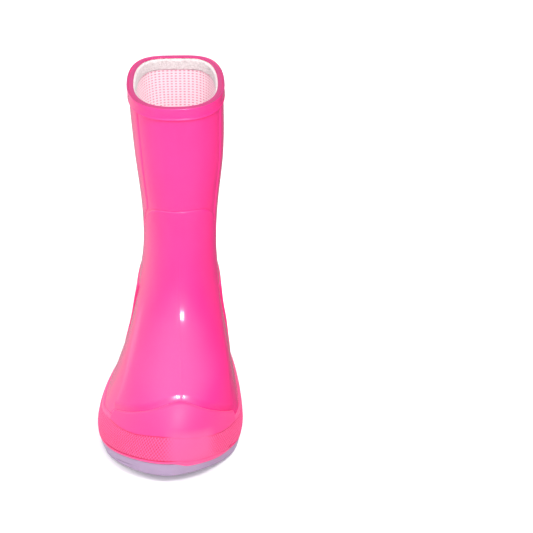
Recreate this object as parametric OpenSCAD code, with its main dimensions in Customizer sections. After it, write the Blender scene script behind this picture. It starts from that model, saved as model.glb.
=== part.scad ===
// Child's rubber rain boot for the right foot, built up from its separate rubber, fibre and knit pieces.
// +Z is up and the toe points along -Y. The outer (little-toe) side is -X and the inner side is +X.
// The origin is on the floor, under the middle of the boot's bounding box.

/* [Size] */
// Height of the boot from the floor to the rim
boot_height = 190; // [160:5:230]
// Length of the sole over the foxing
sole_length = 187; // [160:1:215]
// Width of the sole over the foxing, at the ball of the foot
sole_width = 83; // [72:1:94]

/* [Upper] */
// Thickness of the rubber shell
wall = 2; // [1.6:0.1:2.4]
// Thickness of each rubber panel laid over the shell
panel = 0.8; // [0.6:0.1:1]
// Top of the shin panel at the front, in percent of the boot's height
shin_top = 69; // [66:1:72]
// Top of the toe cap at its peak, in percent of the boot's height
cap_top = 23.2; // [21:0.2:24]
// Top of the heel counter at the sides, in percent of the boot's height
counter_top = 39; // [36:1:42]
// Height of the band around the rim
collar_height = 7; // [5:0.5:9]
// How far the band around the rim stands proud
collar_proud = 1.3; // [1:0.1:1.6]

/* [Sole] */
// Height of the sole's edge along the sides
sole_edge = 7.5; // [6.5:0.5:9]
// Thickness of the tread pieces
tread = 3.5; // [3:0.1:4]
// How far the toe of the sole curves up off the floor
toe_spring = 5; // [3:0.5:7]
// Top of the textured foxing at the toe, in percent of the boot's height
foxing_top = 14.8; // [14:0.2:15.4]
// How far the foxing stands proud of the shell
foxing_proud = 1.5; // [1.2:0.1:1.8]
// Width of the grooves in the tread
groove = 2.6; // [2:0.2:3.2]

/* [Inside] */
// Thickness of the knitted lining
lining = 1.1; // [0.8:0.1:1.4]
// Height of the felt tape inside the rim
tape_height = 6; // [4:0.5:8]
// Thickness of the felt tape
tape = 1.6; // [1.2:0.1:2]
// Thickness of the insole board
board = 1.3; // [1:0.1:1.6]
// Thickness of the foam footbed
foam = 3.5; // [3:0.5:5]

/* [Hidden] */
SEGMENTS = 60; // facets around the boot
gap = 0.15; // glue line left between two layers
shell_length = sole_length - 2 * foxing_proud;
shell_width = sole_width - 2 * foxing_proud;
plane_x = 0.08 * shell_width; // the plane through the shin, the heel and the ridge of the vamp
rim = boot_height;
bead = 1.5; // height of the smooth bead under the foxing
bead_proud = foxing_proud;
shin_side = 70; // half angle that the shin panel wraps
stay_outer = 50; // angles from the front at which the back stay starts, on the outer side
stay_inner = 60; // and on the inner side

// Horizontal sections through the shell, from the sole to the rim. Each row holds, in order:
// height, in percent of the boot's height
// front end, back end and widest place, in percent of the shell's length, measured from its middle
// outer half width and inner half width, in percent of the shell's width
// exponent of the front curve and of the back curve (2 is an ellipse, more is squarer)
// how much the back end narrows, as a fraction
// how far the toe end swings to the outer side, in percent of the shell's width
SECTIONS = [
    [0,    -49,   49,   -17.5, 46,   46.5, 1.80, 3.4, 0.27, 8],
    [5,    -50,   50,   -17.5, 50,   50,   1.90, 3.4, 0.28, 8],
    [10.5, -49.7, 49.5, -17,   48,   48.5, 1.90, 3.4, 0.28, 7],
    [17,   -47,   48.5, -14.5, 42,   43.5, 1.95, 3.0, 0.20, 5.5],
    [24,   -40,   47.5, -10,   36,   39,   2.00, 2.6, 0.12, 4],
    [30.5, -28,   45.5,   0,   31.5, 34,   2.10, 2.4, 0.07, 2.5],
    [38.5, -16.5, 44,    10,   28,   30,   2.15, 2.3, 0.02, 1],
    [49.5, -10,   42.5,  15,   25,   27,   2.20, 2.3, 0,    0],
    [63,   -6.5,  43,    18.5, 25.5, 28.5, 2.20, 2.4, 0,    0],
    [80,   -4,    45,    20.5, 30,   33,   2.30, 2.7, 0.02, 0],
    [100,  -1,    47,    23,   34,   33.5, 2.50, 3.5, 0.07, 0],
];
LAST = len(SECTIONS) - 1;

// ---- the shell's surface ----

function mix(a, b, u) = a + (b - a) * u;
function ease(u) = let (v = min(1, max(0, u))) v * v * (3 - 2 * v);

// Smooth interpolation between the rows of SECTIONS, for column c at height p percent.
function row_below(p, i = 0) = i >= LAST - 1 || p < SECTIONS[i + 1][0] ? i : row_below(p, i + 1);
function slope(i, c) =
    let (lo = SECTIONS[max(i - 1, 0)], hi = SECTIONS[min(i + 1, LAST)])
    (hi[c] - lo[c]) / (hi[0] - lo[0]);
function section(p, c) =
    let (
        i = row_below(p),
        step = SECTIONS[i + 1][0] - SECTIONS[i][0],
        u = (p - SECTIONS[i][0]) / step
    )
    mix(SECTIONS[i][c], SECTIONS[i + 1][c], u * u * (3 - 2 * u))
    + step * u * (1 - u) * ((1 - u) * slope(i, c) - u * slope(i + 1, c));

// Point of the section at height z, in plan. Angle a is 0 at the toe and 90 on the inner side.
function plan(a, z) =
    let (
        p = 100 * min(max(z, 0), rim) / boot_height,
        across = sin(a),
        along = cos(a),
        n = section(p, along > 0 ? 6 : 7),
        r = pow(pow(abs(across), n) + pow(abs(along), n), -1 / n),
        widest = section(p, 3) * shell_length / 100,
        end = section(p, along > 0 ? 1 : 2) * shell_length / 100,
        half = section(p, across < 0 ? 4 : 5) * shell_width / 100,
        y = widest + (end - widest) * r * abs(along),
        back = along > 0 ? 0 : ease((y - widest) / (end - widest)),
        x = half * r * across * (1 - section(p, 8) * back)
    )
    [x + plane_x - section(p, 9) * shell_width / 100 * (1 - back), y];

// How far the floor of the boot rises toward the toe.
function spring(y, z) =
    toe_spring * pow(ease((-y / shell_length - 0.2) / 0.3), 1.5) * (1 - ease(z / (0.35 * boot_height)));

// Point at distance d outside the shell's outer surface, at angle a and height z.
function skin(a, z, d) =
    let (
        e = 0.4,
        top = min(z, rim - e),
        here = plan(a, z),
        t = plan(a + 0.5, z) - plan(a - 0.5, z),
        out = [t.y, -t.x] / norm(t),
        lean = (plan(a, top + e) - plan(a, top)) * out / e,
        p = here + out * d * sqrt(1 + lean * lean)
    )
    [p.x, p.y, z + spring(p.y, z)];

// Angle, from 0 at the toe to 180 at the heel, at which the section at height z reaches y.
function angle_at(y, z) =
    let (
        p = 100 * min(max(z, 0), rim) / boot_height,
        widest = section(p, 3) * shell_length / 100,
        front = y < widest,
        n = section(p, front ? 6 : 7),
        q = min(0.999, (y - widest) / (section(p, front ? 1 : 2) * shell_length / 100 - widest)),
        k = atan(q / pow(1 - pow(q, n), 1 / n))
    )
    front ? 90 - k : 90 + k;

function turn() = [for (i = [0:SEGMENTS - 1]) 360 * i / SEGMENTS];

// Distance outside the shell at an angle: d is a number, or a function of the angle.
function out(d, a) = is_function(d) ? d(a) : d;

// Ring around the boot. z is a function of the angle.
function ring(z, d) = [for (a = turn()) skin(a, z(a), out(d, a))];

// Angle from the toe, from -180 to 180.
function from_toe(a) = a > 180 ? a - 360 : a;

// ---- edges of the pieces, as heights around the boot ----

// Top of the midsole's edge: higher at the toe and heel, lower on the inner side.
edge_z = function(a)
    sole_edge + 2.5 * pow(max(0, cos(a)), 3) + 4 * pow(max(0, -cos(a)), 2) - 1.5 * max(0, sin(a));
bead_z = function(a) edge_z(a) + gap + bead;
// Top of the foxing: a swell over the toe, a little lower on the inner side and round the heel.
foxing_z = function(a)
    let (
        b = from_toe(a),
        swell = 1.6 * exp(-pow((b + 8) / 22, 2)),
        front = foxing_top - 1.6 + swell - 1.3 * ease(b / 60)
    )
    boot_height * mix(10.3, front, ease((100 - abs(b)) / 40)) / 100;
shin_low_z = function(a) foxing_z(a) + gap;

// The shin panel's top edge is flat over the shin and turns down at both sides.
shin_side_z = 0.485 * boot_height;
shin_top_z = function(a)
    mix(shin_side_z, shin_top * boot_height / 100,
        sqrt(max(0, 1 - pow(abs(from_toe(a)) / shin_side, 3.6))));

// The toe cap's top edge rises to a soft peak on the ridge of the vamp.
cap_z = function(a)
    let (off = a - 4, fall = off < 0 ? 0.137 : 0.174)
    boot_height * (cap_top - fall * (sqrt(off * off + 100) - 10)) / 100;

counter_z = function(a)
    boot_height * (counter_top + 4 * ease((abs(from_toe(a)) - 90) / 70)) / 100;

// ---- the sole's wall, as distances outside the shell ----

// 0 over the toe and 1 along the sides and round the heel.
function flank(a) = ease((abs(from_toe(a)) - 40) / 30);

// At the ground the wall is full at the sides and drawn in at the toe.
sole_out = function(a) 0.7 + 0.6 * flank(a) - 2.6 * exp(-pow((from_toe(a) - 8) / 28, 2));

// At the midsole's top edge, and at the height z between the ground and that edge.
midsole_out = function(a) 0.7 + 0.5 * flank(a);
function sole_wall(z) = function(a) mix(sole_out(a), midsole_out(a), z / edge_z(a));

// ---- solids ----

// Solid whose skin runs through rings in turn: closed at both ends, or joined round into a hoop.
module loft(rings, hoop = false) {
    n = len(rings[0]);
    m = len(rings);
    middle = function(r) [for (k = [0:2]) (max([for (p = r) p[k]]) + min([for (p = r) p[k]])) / 2];
    sides = [
        for (i = [0:m - (hoop ? 1 : 2)], j = [0:n - 1])
            let (
                a = i * n + j,
                b = i * n + (j + 1) % n,
                c = ((i + 1) % m) * n + j,
                d = ((i + 1) % m) * n + (j + 1) % n
            )
            each [[a, c, b], [b, c, d]]
    ];
    ends = hoop ? [] : [
        for (j = [0:n - 1])
            each [[m * n, j, (j + 1) % n], [m * n + 1, (m - 1) * n + (j + 1) % n, (m - 1) * n + j]]
    ];
    corners = [for (r = rings) each r];
    tips = hoop ? [] : [middle(rings[0]), middle(rings[m - 1])];
    polyhedron(concat(corners, tips), concat(sides, ends), 6);
}

// Panel laid on the shell between the distances d0 and d1. angle and height are functions of (u, v),
// where u runs around the boot and v runs up it. Distances are numbers or functions of the angle.
module sheet(angle, height, d0, d1, nu, nv) {
    grid = function(d) [
        for (j = [0:nv], i = [0:nu])
            let (u = i / nu, v = j / nv, a = angle(u, v)) skin(a, height(u, v), out(d, a))
    ];
    w = nu + 1;
    inner = w * (nv + 1);
    front = [
        for (j = [0:nv - 1], i = [0:nu - 1])
            let (a = j * w + i) each [[a, a + w, a + 1], [a + 1, a + w, a + w + 1]]
    ];
    back = [for (f = front) [f[0] + inner, f[2] + inner, f[1] + inner]];
    bottom = [for (i = [0:nu - 1]) each [[i, i + 1, i + 1 + inner], [i, i + 1 + inner, i + inner]]];
    top = [
        for (i = [nv * w:nv * w + nu - 1])
            each [[i + 1, i, i + inner], [i + 1, i + inner, i + 1 + inner]]
    ];
    left = [
        for (i = [0:w:(nv - 1) * w]) each [[i + w, i, i + inner], [i + w, i + inner, i + w + inner]]
    ];
    right = [
        for (i = [nu:w:(nv - 1) * w + nu])
            each [[i, i + w, i + w + inner], [i, i + w + inner, i + inner]]
    ];
    polyhedron(concat(grid(d1), grid(d0)), concat(front, back, bottom, top, left, right), 6);
}

// Ring on a floor inside the boot: h above the midsole's top, d from the shell's surface, and drawn
// in to the fraction k of the way out from the middle. The floor dips a little toward its middle.
floor_mid = sole_edge;
function floor_ring(h, d, k) = [
    for (a = turn())
        let (
            z = mix(floor_mid, edge_z(a), k * k) + h,
            edge = skin(a, z, d),
            q = [plane_x / 2, 0] + k * ([edge.x, edge.y] - [plane_x / 2, 0])
        )
        [q.x, q.y, z + spring(q.y, z)]
];

// Flat piece that follows the floor, from h0 to h1 above the midsole's top.
module floor_piece(h0, h1, d) {
    steps = [0.35, 0.7, 1];
    loft(concat(
        [for (k = steps) floor_ring(h0, d, k)],
        [for (i = [len(steps) - 1:-1:0]) floor_ring(h1, d, steps[i])]
    ));
}

// Flat piece of the sole between the heights z0 and z1, with its edge at d0 below and d1 above.
function sole_ring(z, d, k) = [
    for (a = turn())
        let (
            edge = skin(a, z, out(d, a)),
            q = [plane_x / 2, 0] + k * ([edge.x, edge.y] - [plane_x / 2, 0])
        )
        [q.x, q.y, z + spring(q.y, z)]
];
module sole_piece(z0, z1, d0, d1) {
    steps = [0.4, 0.75, 1];
    loft(concat(
        [for (k = steps) sole_ring(z0, d0, k)],
        [for (i = [len(steps) - 1:-1:0]) sole_ring(z1, d1, steps[i])]
    ));
}

// ---- upper ----

shell_floor = gap + wall;
shell_levels = [for (p = [10, 13, 16, 19, 22, 25, 28, 31, 34, 37.5, 41, 45.5, 51, 58, 66, 75, 84, 92, 100])
    boot_height * p / 100];

module upper_shell() {
    outside = concat([for (k = [0.4, 0.8]) floor_ring(gap, 0, k)],
                     [ring(function(a) edge_z(a) + gap, 0)]);
    inside = [for (k = [1, 0.8, 0.4]) floor_ring(shell_floor, -wall, k)];
    color("hotpink") loft(concat(
        outside,
        [for (z = shell_levels) ring(function(a) z, 0)],
        [for (i = [len(shell_levels) - 1:-1:0]) ring(function(a) shell_levels[i], -wall)],
        inside
    ));
}

module shin_panel() {
    color("deeppink") sheet(
        function(u, v) mix(-shin_side, shin_side, u),
        function(u, v) let (a = mix(-shin_side, shin_side, u)) mix(shin_low_z(a), shin_top_z(a), v),
        gap, gap + panel, 24, 17);
}

// Front edge of the back stay at the height z: it stands clear of the shin panel's corner.
function stay_angle(z, side) =
    let (
        span = shin_top * boot_height / 100 - shin_side_z,
        t = min(1, max(0, (z - shin_side_z) / span))
    )
    max(side, shin_side * pow(1 - t * t, 1 / 3.6) + 4);

// Angle across the back stay, from its inner edge (0) to its outer edge (1).
function stay_across(u, z) = mix(stay_angle(z, stay_inner), 360 - stay_angle(z, stay_outer), u);

module back_stay() {
    top = rim - collar_height - gap;
    rise = function(a) counter_z(a) + gap;
    bottom = rise(90);
    color("deeppink") sheet(
        function(u, v) stay_across(u, mix(bottom, top, v)),
        function(u, v) mix(rise(stay_across(u, mix(bottom, top, v))), top, v),
        gap, gap + panel, 40, 13);
}

module heel_counter() {
    // The front edge leans forward from the sole up to the ankle.
    low = foxing_z(110);
    high = counter_z(90);
    edge = function(v) angle_at(shell_length * mix(0.2, 0.09, v), mix(low, high, v));
    color("hotpink") sheet(
        function(u, v) mix(edge(v), 360 - edge(v), u),
        function(u, v) let (a = mix(edge(v), 360 - edge(v), u)) mix(foxing_z(a) + gap, counter_z(a), v),
        gap, gap + panel + 0.4, 32, 7);
}

module toe_cap() {
    side = 66;
    color("hotpink") sheet(
        function(u, v) mix(-side, side, u),
        function(u, v) let (a = mix(-side, side, u)) mix(foxing_z(a) + gap, cap_z(a), v),
        gap + panel + gap, 2 * (gap + panel), 24, 5);
}

module collar_band() {
    low = rim - collar_height;
    soft = 0.5;
    color("hotpink") loft([
        ring(function(a) low, gap),
        ring(function(a) low, collar_proud - soft),
        ring(function(a) low + soft, collar_proud),
        ring(function(a) rim - soft, collar_proud),
        ring(function(a) rim, collar_proud - soft),
        ring(function(a) rim, gap),
    ], hoop = true);
}

// ---- sole ----

module foxing_band() {
    soft = 0.4;
    color("palevioletred") loft([
        ring(function(a) bead_z(a) + gap, gap),
        ring(function(a) bead_z(a) + gap, foxing_proud - soft),
        ring(function(a) bead_z(a) + 1, foxing_proud - soft),
        ring(function(a) mix(bead_z(a), foxing_z(a), 0.6), foxing_proud - soft),
        ring(function(a) foxing_z(a) - soft, foxing_proud - soft),
        ring(function(a) foxing_z(a), foxing_proud - 2 * soft),
        ring(function(a) foxing_z(a), gap),
    ], hoop = true);
}

module foxing_bead() {
    color("hotpink") loft([
        ring(function(a) edge_z(a) + gap, gap),
        ring(function(a) edge_z(a) + gap, bead_proud - 0.5),
        ring(function(a) edge_z(a) + gap + bead / 2, bead_proud),
        ring(function(a) bead_z(a), bead_proud - 0.5),
        ring(function(a) bead_z(a), gap),
    ], hoop = true);
}

module toe_bumper() {
    drop = 2.2;
    color("hotpink") sheet(
        function(u, v) mix(4, 60, u),
        function(u, v) let (a = mix(4, 60, u)) mix(edge_z(a) - drop, edge_z(a), v),
        function(a) midsole_out(a) + gap, bead_proud, 12, 2);
}

module midsole() {
    base = tread + gap;
    steps = [0.4, 0.8, 1];
    color("plum") loft(concat(
        [for (k = steps) sole_ring(base, sole_wall(base), k)],
        [ring(edge_z, midsole_out)],
        [floor_ring(0, 0, 0.8), floor_ring(0, 0, 0.4)]
    ));
}

// Grooves straight across the tread that stop short of its edge.
module tread_grooves(y0, y1) {
    depth = 2;
    land = 7;
    pitch = 9;
    for (y = [y0:pitch:y1]) {
        a = angle_at(y, 0);
        left = skin(-a, 0, -land).x;
        right = skin(a, 0, -land).x;
        translate([left, y - groove / 2, spring(y, 0) - 5]) cube([right - left, groove, depth + 5]);
    }
}

module tread_part(y0, y1, groove0, groove1) {
    difference() {
        sole_piece(0, tread, sole_out, sole_wall(tread));
        translate([-sole_width, y1, -1]) cube([2 * sole_width, sole_length, 20]);
        translate([-sole_width, y0 - sole_length, -1]) cube([2 * sole_width, sole_length, 20]);
        tread_grooves(groove0, groove1);
    }
}

waist_front = 0.02 * shell_length; // where the forefoot tread ends
waist_back = 0.17 * shell_length; // where the heel tread starts

module forefoot_tread() {
    color("mediumpurple") tread_part(-shell_length, waist_front, -0.42 * shell_length, waist_front - 6);
}

module heel_tread() {
    color("mediumpurple") tread_part(waist_back, shell_length, waist_back + 8, 0.45 * shell_length);
}

// ---- inside ----

board_low = shell_floor + gap;
sock_low = board_low + board + gap;
foam_low = sock_low + lining + gap;
cover_low = foam_low + foam + gap;
cover = 0.8; // thickness of the cloth on the footbed
sock_out = -wall - gap;
sock_in = sock_out - lining;
sock_join = 0.42 * boot_height; // seam between the lining's foot and its leg

module insole_board() {
    color("tan") floor_piece(board_low, board_low + board, -wall - 2 * gap);
}

module lining_foot() {
    levels = [for (p = [13, 17, 21, 25, 29, 33, 37.5, 42]) sock_join * p / 42];
    color("lightpink") loft(concat(
        [for (k = [0.4, 0.8, 1]) floor_ring(sock_low, sock_out, k)],
        [for (z = levels) ring(function(a) z, sock_out)],
        [for (i = [len(levels) - 1:-1:0]) ring(function(a) levels[i], sock_in)],
        [for (k = [1, 0.8, 0.4]) floor_ring(sock_low + lining, sock_in, k)]
    ));
}

module lining_leg() {
    low = sock_join + gap;
    high = rim - 1 - tape_height - gap;
    levels = [for (u = [0:6]) mix(low, high, u / 6)];
    color("lightpink") loft(concat(
        [for (z = levels) ring(function(a) z, sock_out)],
        [for (i = [len(levels) - 1:-1:0]) ring(function(a) levels[i], sock_in)]
    ), hoop = true);
}

module lining_edge_tape() {
    low = rim - 1 - tape_height;
    high = rim - 1;
    color("linen") loft([
        ring(function(a) low, sock_out),
        ring(function(a) high, sock_out),
        ring(function(a) high, sock_out - tape + 0.5),
        ring(function(a) high - 1, sock_out - tape),
        ring(function(a) low, sock_out - tape),
    ], hoop = true);
}

module footbed_foam() {
    color("whitesmoke") floor_piece(foam_low, foam_low + foam, sock_in - 2 * gap);
}

module footbed_cover() {
    color("pink") floor_piece(cover_low, cover_low + cover, sock_in - 2 * gap);
}

upper_shell();
shin_panel();
back_stay();
heel_counter();
toe_cap();
collar_band();
foxing_band();
foxing_bead();
toe_bumper();
midsole();
forefoot_tread();
heel_tread();
insole_board();
lining_foot();
lining_leg();
lining_edge_tape();
footbed_foam();
footbed_cover();
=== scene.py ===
"""Child's rubber rain boot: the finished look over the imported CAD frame.

Surfaces are worked out in millimetres from the same horizontal sections as the CAD model, then
written as meshes in metres. Angle 0 is the toe, 90 the inner side, 180 the heel, -90 the outer side.
"""

import math

import bpy
import numpy as np
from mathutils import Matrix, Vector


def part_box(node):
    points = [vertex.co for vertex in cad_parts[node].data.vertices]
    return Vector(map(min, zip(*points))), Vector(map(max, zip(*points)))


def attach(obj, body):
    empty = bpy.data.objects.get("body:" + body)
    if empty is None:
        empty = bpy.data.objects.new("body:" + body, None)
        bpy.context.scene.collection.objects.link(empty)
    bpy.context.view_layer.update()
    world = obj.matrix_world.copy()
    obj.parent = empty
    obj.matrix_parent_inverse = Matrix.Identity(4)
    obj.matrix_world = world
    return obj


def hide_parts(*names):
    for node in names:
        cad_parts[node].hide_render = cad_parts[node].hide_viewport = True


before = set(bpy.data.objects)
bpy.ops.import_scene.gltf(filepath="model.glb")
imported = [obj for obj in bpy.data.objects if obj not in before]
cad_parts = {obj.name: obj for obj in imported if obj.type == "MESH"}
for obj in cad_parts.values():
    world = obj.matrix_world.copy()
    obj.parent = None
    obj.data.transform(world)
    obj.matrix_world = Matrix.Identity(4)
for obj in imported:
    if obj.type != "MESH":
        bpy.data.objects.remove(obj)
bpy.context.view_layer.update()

MM = 0.001


def box_mm(node):
    """Lowest and highest corners of a CAD node, in millimetres."""
    low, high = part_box(node)
    return np.array(low) / MM, np.array(high) / MM


# ---- driving dimensions ----

shell_low, shell_high = box_mm("upper_shell")
RIM = shell_high[2]
SHELL_LENGTH = shell_high[1] - shell_low[1]
SHELL_WIDTH = 80.0
PLANE_X = 0.08 * SHELL_WIDTH
WALL = 2.0
LIP = 0.8
GAP = 0.15
PANEL = 0.8
SOLE_EDGE = 7.5
TREAD = 3.5
SPRING = 5.0
FOXING_PROUD = 1.5
BEAD = 1.5
STUD_PITCH = 1.9
STUD_ROW = 1.3
GROOVE_PITCH = 9.0
GROOVE_WIDTH = 2.6
GROOVE_DEPTH = 2.0
COLLAR_HEIGHT = 7.0
COLLAR_PROUD = 1.3
LINING = 1.1
TAPE_HEIGHT = 6.0
TAPE = 1.6
BOARD = 1.3
FOAM = 3.5
COVER = 0.8
CAP_OUT = 2 * (GAP + PANEL) - 0.15
SHIN_SIDE = 70.0
STAY_OUTER = 50.0
STAY_INNER = 60.0
SHIN_TOP = 0.69 * RIM
SHIN_SIDE_Z = 0.485 * RIM
SOCK_JOIN = 0.42 * RIM
SOCK_OUT = -WALL - GAP
SOCK_IN = SOCK_OUT - LINING

# height %, front %, back %, widest %, outer %, inner %, front exponent, back exponent,
# narrowing of the heel, swing of the toe toward the outer side %
SECTIONS = np.array([
    [0,    -49,   49,   -17.5, 46,   46.5, 1.80, 3.4, 0.27, 8],
    [5,    -50,   50,   -17.5, 50,   50,   1.90, 3.4, 0.28, 8],
    [10.5, -49.7, 49.5, -17,   48,   48.5, 1.90, 3.4, 0.28, 7],
    [17,   -47,   48.5, -14.5, 42,   43.5, 1.95, 3.0, 0.20, 5.5],
    [24,   -40,   47.5, -10,   36,   39,   2.00, 2.6, 0.12, 4],
    [30.5, -28,   45.5,   0,   31.5, 34,   2.10, 2.4, 0.07, 2.5],
    [38.5, -16.5, 44,    10,   28,   30,   2.15, 2.3, 0.02, 1],
    [49.5, -10,   42.5,  15,   25,   27,   2.20, 2.3, 0,    0],
    [63,   -6.5,  43,    18.5, 25.5, 28.5, 2.20, 2.4, 0,    0],
    [80,   -4,    45,    20.5, 30,   33,   2.30, 2.7, 0.02, 0],
    [100,  -1,    47,    23,   34,   33.5, 2.50, 3.5, 0.07, 0],
])


# ---- the boot's surface ----

def mix(a, b, u):
    return a + (b - a) * u


def ease(u):
    v = np.clip(u, 0, 1)
    return v * v * (3 - 2 * v)


def spline_slopes(x, y):
    """Slopes at the knots of the twice-smooth cubic through (x, y)."""
    n = len(x)
    h = np.diff(x)
    step = np.diff(y, axis=0) / h[:, None]
    m = np.zeros((n, n))
    r = np.zeros_like(y)
    for i in range(1, n - 1):
        m[i, i - 1] = h[i]
        m[i, i] = 2 * (h[i - 1] + h[i])
        m[i, i + 1] = h[i - 1]
        r[i] = 3 * (h[i] * step[i - 1] + h[i - 1] * step[i])
    m[0, 0] = m[-1, -1] = 1
    r[0] = step[0]
    r[-1] = step[-1]
    return np.linalg.solve(m, r)


KNOTS = SECTIONS[:, 0]
VALUES = SECTIONS[:, 1:]
CATMULL = np.vstack([
    (VALUES[1] - VALUES[0]) / (KNOTS[1] - KNOTS[0]),
    (VALUES[2:] - VALUES[:-2]) / (KNOTS[2:] - KNOTS[:-2])[:, None],
    (VALUES[-1] - VALUES[-2]) / (KNOTS[-1] - KNOTS[-2]),
])
SLOPES = 0.5 * CATMULL + 0.5 * spline_slopes(KNOTS, VALUES)


def section(z):
    """The columns of SECTIONS, after the height, at height z."""
    p = np.clip(100 * z / RIM, 0, 100)
    i = np.clip(np.searchsorted(KNOTS, p, side="right") - 1, 0, len(KNOTS) - 2)
    h = KNOTS[i + 1] - KNOTS[i]
    u = ((p - KNOTS[i]) / h)[..., None]
    h = h[..., None]
    return (
        (2 * u**3 - 3 * u**2 + 1) * VALUES[i]
        + (u**3 - 2 * u**2 + u) * h * SLOPES[i]
        + (3 * u**2 - 2 * u**3) * VALUES[i + 1]
        + (u**3 - u**2) * h * SLOPES[i + 1]
    )


def plan(a, z):
    """Point of the shell's section at height z and angle a (degrees), in plan."""
    s = section(z)
    front, back, widest = (s[..., k] * SHELL_LENGTH / 100 for k in (0, 1, 2))
    across = np.sin(np.radians(a))
    along = np.cos(np.radians(a))
    n = np.where(along > 0, s[..., 5], s[..., 6])
    r = (np.abs(across) ** n + np.abs(along) ** n) ** (-1 / n)
    end = np.where(along > 0, front, back)
    half = np.where(across < 0, s[..., 3], s[..., 4]) * SHELL_WIDTH / 100
    y = widest + (end - widest) * r * np.abs(along)
    heel = np.where(along > 0, 0, ease((y - widest) / (back - widest)))
    x = half * r * across * (1 - s[..., 7] * heel)
    return x + PLANE_X - s[..., 8] * SHELL_WIDTH / 100 * (1 - heel), y


def spring(y, z):
    """Rise of the floor of the boot toward the toe."""
    rise = np.maximum(ease((-y / SHELL_LENGTH - 0.2) / 0.3), 0) ** 1.5
    return SPRING * rise * (1 - ease(z / (0.35 * RIM)))


def skin(a, z, d):
    """Points at distance d outside the shell's outer surface."""
    a, z, d = np.broadcast_arrays(*(np.asarray(v, float) for v in (a, z, d)))
    e = 0.4
    top = np.minimum(z, RIM - e)
    x, y = plan(a, z)
    x1, y1 = plan(a + 0.5, z)
    x0, y0 = plan(a - 0.5, z)
    tx, ty = x1 - x0, y1 - y0
    length = np.hypot(tx, ty)
    ox, oy = ty / length, -tx / length
    ux, uy = plan(a, top + e)
    lx, ly = plan(a, top)
    lean = ((ux - lx) * ox + (uy - ly) * oy) / e
    reach = d * np.sqrt(1 + lean * lean)
    px, py = x + ox * reach, y + oy * reach
    return np.stack([px, py, z + spring(py, z)], -1)


def ridge_angle(z):
    """Angle at which the section at height z crosses the plane of the shin."""
    s = section(np.asarray(z, float))
    return np.degrees(np.arcsin(np.clip(s[..., 8] / s[..., 4], 0, 1)))


def from_toe(a):
    return (np.asarray(a, float) + 180) % 360 - 180


# ---- edges of the pieces, as heights around the boot ----

def edge_z(a):
    c, s = np.cos(np.radians(a)), np.sin(np.radians(a))
    return (SOLE_EDGE + 2.5 * np.maximum(0, c) ** 3 + 4 * np.maximum(0, -c) ** 2
            - 1.5 * np.maximum(0, s))


def bead_z(a):
    return edge_z(a) + GAP + BEAD


def foxing_z(a):
    """Top of the foxing: it swells over the toe and drops on the inner side and at the heel."""
    a = from_toe(a)
    front = 13.2 + 1.6 * np.exp(-(((a + 8) / 22) ** 2)) - 1.3 * ease(a / 60)
    return RIM * mix(10.3, front, ease((100 - np.abs(a)) / 40)) / 100


def shin_top_z(a):
    reach = np.abs(from_toe(a)) / SHIN_SIDE
    return mix(SHIN_SIDE_Z, SHIN_TOP, np.sqrt(np.maximum(0, 1 - reach**3.6)))


def cap_z(a):
    """Top of the toe cap: a soft peak that falls away faster on the inner side."""
    off = from_toe(a) - 4
    fall = np.where(off < 0, 0.137, 0.174)
    return RIM * (23.2 - fall * (np.sqrt(off * off + 100) - 10)) / 100


def flank(a):
    """0 over the toe and 1 along the sides and round the heel."""
    return ease((np.abs(from_toe(a)) - 40) / 30)


def sole_out(a):
    """Reach of the sole's lower edge beyond the shell: full at the sides, drawn in at the toe."""
    return 0.7 + 1.3 * flank(a) - 2.6 * np.exp(-(((from_toe(a) - 8) / 28) ** 2))


def midsole_out(a):
    return 0.7 + 0.6 * flank(a)


def sole_wall(a, z):
    """The sole's wall: a slight belly, and one groove moulded along the outer forefoot."""
    v = np.clip(z / edge_z(a), 0, 1)
    outer = np.exp(-(((from_toe(a) + 45) / 14) ** 4))
    groove = mix(2.2, 4.6, ease((from_toe(a) + 60) / 40))
    cut_in = 0.45 * outer * np.exp(-(((z - groove) / 0.35) ** 2))
    return mix(sole_out(a), midsole_out(a), v) + 0.12 * np.sin(math.pi * v) - cut_in


def counter_z(a):
    return RIM * (39 + 4 * ease((np.abs(from_toe(a)) - 90) / 70)) / 100


def stay_angle(z, side):
    """Front edge of the back stay: it gives way to the shin panel below the panel's top."""
    t = np.clip((z - SHIN_SIDE_Z) / (SHIN_TOP - SHIN_SIDE_Z), 0, 1)
    return np.maximum(side, SHIN_SIDE * (1 - t * t) ** (1 / 3.6) + 4)


def counter_angle(v):
    """Front edge of the heel counter, which leans forward from the sole (0) to the ankle (1)."""
    z = mix(foxing_z(110.0), counter_z(90.0), v)
    s = section(z)
    widest, back = s[..., 2] * SHELL_LENGTH / 100, s[..., 1] * SHELL_LENGTH / 100
    n = s[..., 6]
    q = (SHELL_LENGTH * mix(0.2, 0.09, v) - widest) / (back - widest)
    q = np.clip(q, 0.0, 0.999)
    return 90 + np.degrees(np.arctan(q / (1 - q**n) ** (1 / n)))


# ---- mesh helpers ----

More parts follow.
